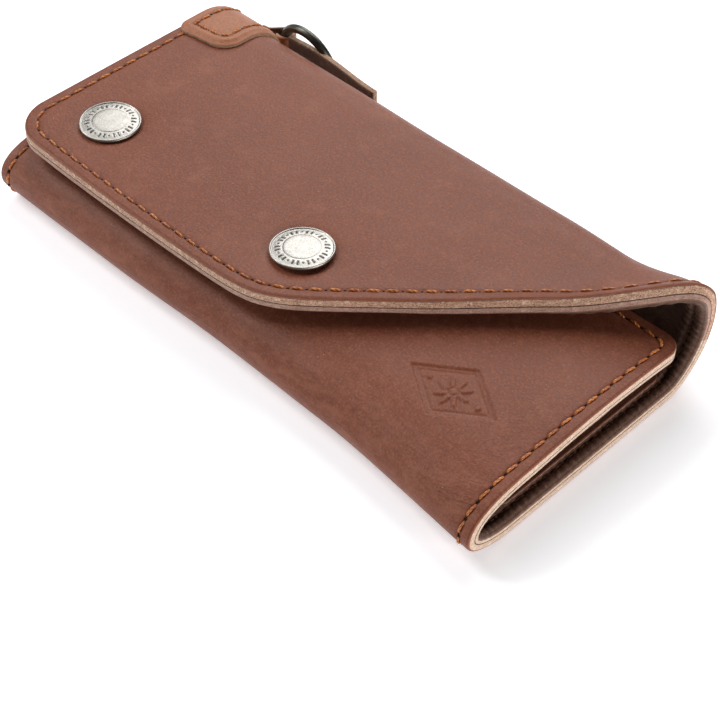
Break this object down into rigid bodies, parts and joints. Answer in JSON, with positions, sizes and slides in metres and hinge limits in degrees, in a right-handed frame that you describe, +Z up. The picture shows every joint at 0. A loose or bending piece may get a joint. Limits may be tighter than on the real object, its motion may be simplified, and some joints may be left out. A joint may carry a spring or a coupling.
{
  "type": "chain wallet",
  "caption": "Long trifold leather wallet with a diagonal-cut flap on two snaps, a corner strap holding a chain ring, card pockets and a zipped coin pocket.",
  "frame": {"origin": "centre of the back panel's outer face, which the closed wallet lies on", "axes": "+X along the wallet's length to the end where the flap is cut away, +Y towards the spine, +Z up from the table"},
  "size_m": [0.195, 0.1058, 0.035],
  "materials": {
    "outer_leather": "pull-up cowhide, reddish mid brown, soft sheen, fine grain, lighter where it is bent",
    "lining_leather": "thin smooth dark brown lining leather",
    "strap_leather": "the outer leather with raw tan edges",
    "pocket_leather": "thin matt brown pocket leather",
    "thread": "waxed orange brown thread",
    "snap_metal": "antique nickel, darker in its hollows",
    "ring_metal": "dark gunmetal plating, worn lighter on its outside",
    "zip_brass": "antique brass",
    "zip_tape": "woven dark brown tape and nylon coil"
  },
  "bodies": {
    "back": {"outer_back_panel": "outer_leather", "lining_back_panel": "lining_leather", "note_divider": "pocket_leather", "coin_pocket_front": "pocket_leather", "zip_facing": "pocket_leather", "zip_tape_near": "zip_tape", "zip_tape_far": "zip_tape", "zip_coil": "zip_tape", "zip_stop_left": "zip_brass", "zip_stop_right": "zip_brass"},
    "front_leaf": {"outer_front_panel": "outer_leather", "lining_front_panel": "lining_leather", "card_backing": "pocket_leather", "card_pocket_left_1": "pocket_leather", "card_pocket_left_2": "pocket_leather", "card_pocket_left_3": "pocket_leather", "card_pocket_right_1": "pocket_leather", "card_pocket_right_2": "pocket_leather", "card_pocket_right_3": "pocket_leather", "left_snap_stud": "snap_metal", "left_snap_eyelet": "snap_metal", "right_snap_stud": "snap_metal", "right_snap_eyelet": "snap_metal"},
    "spine": {"outer_spine": "outer_leather", "lining_spine": "lining_leather", "corner_strap": "strap_leather", "ring_keeper": "strap_leather", "spine_tab": "strap_leather"},
    "flap": {"outer_flap": "outer_leather", "lining_flap": "lining_leather", "corner_patch": "strap_leather", "left_snap_cap": "snap_metal", "left_snap_socket": "snap_metal", "right_snap_cap": "snap_metal", "right_snap_socket": "snap_metal"},
    "ring": {"chain_ring": "ring_metal"},
    "slider": {"zip_slider": "zip_brass"},
    "pull": {"zip_pull": "zip_brass"}
  },
  "joints": [
    {"name": "spine_fold", "type": "hinge", "parent": "back", "child": "spine", "pos_m": [0, 0.0495, 0.009], "axis": [-1, 0, 0], "range_deg": [0, 93]},
    {"name": "flap_fold", "type": "hinge", "parent": "spine", "child": "flap", "pos_m": [0, 0.0495, 0.024], "axis": [-1, 0, 0], "range_deg": [0, 93]},
    {"name": "leaf_open", "type": "hinge", "parent": "back", "child": "front_leaf", "pos_m": [0, -0.048, 0.0083], "axis": [1, 0, 0], "range_deg": [0, 45]},
    {"name": "ring_swing", "type": "hinge", "parent": "spine", "child": "ring", "pos_m": [-0.081, 0.0544, 0.0134], "axis": [0, 0, 1], "range_deg": [0, 180]},
    {"name": "zip_slide", "type": "slide", "parent": "back", "child": "slider", "axis": [1, 0, 0], "range_m": [0, 0.148]},
    {"name": "pull_lift", "type": "hinge", "parent": "slider", "child": "pull", "pos_m": [-0.0777, 0.0155, 0.0095], "axis": [0, -1, 0], "range_deg": [0, 38]}
  ],
  "couplings": [
    {"joint": "flap_fold", "follows": "spine_fold", "ratio": 1},
    {"joint": "leaf_open", "follows": "spine_fold", "ratio": 0.45},
    {"joint": "pull_lift", "follows": "spine_fold", "ratio": 0.4}
  ]
}
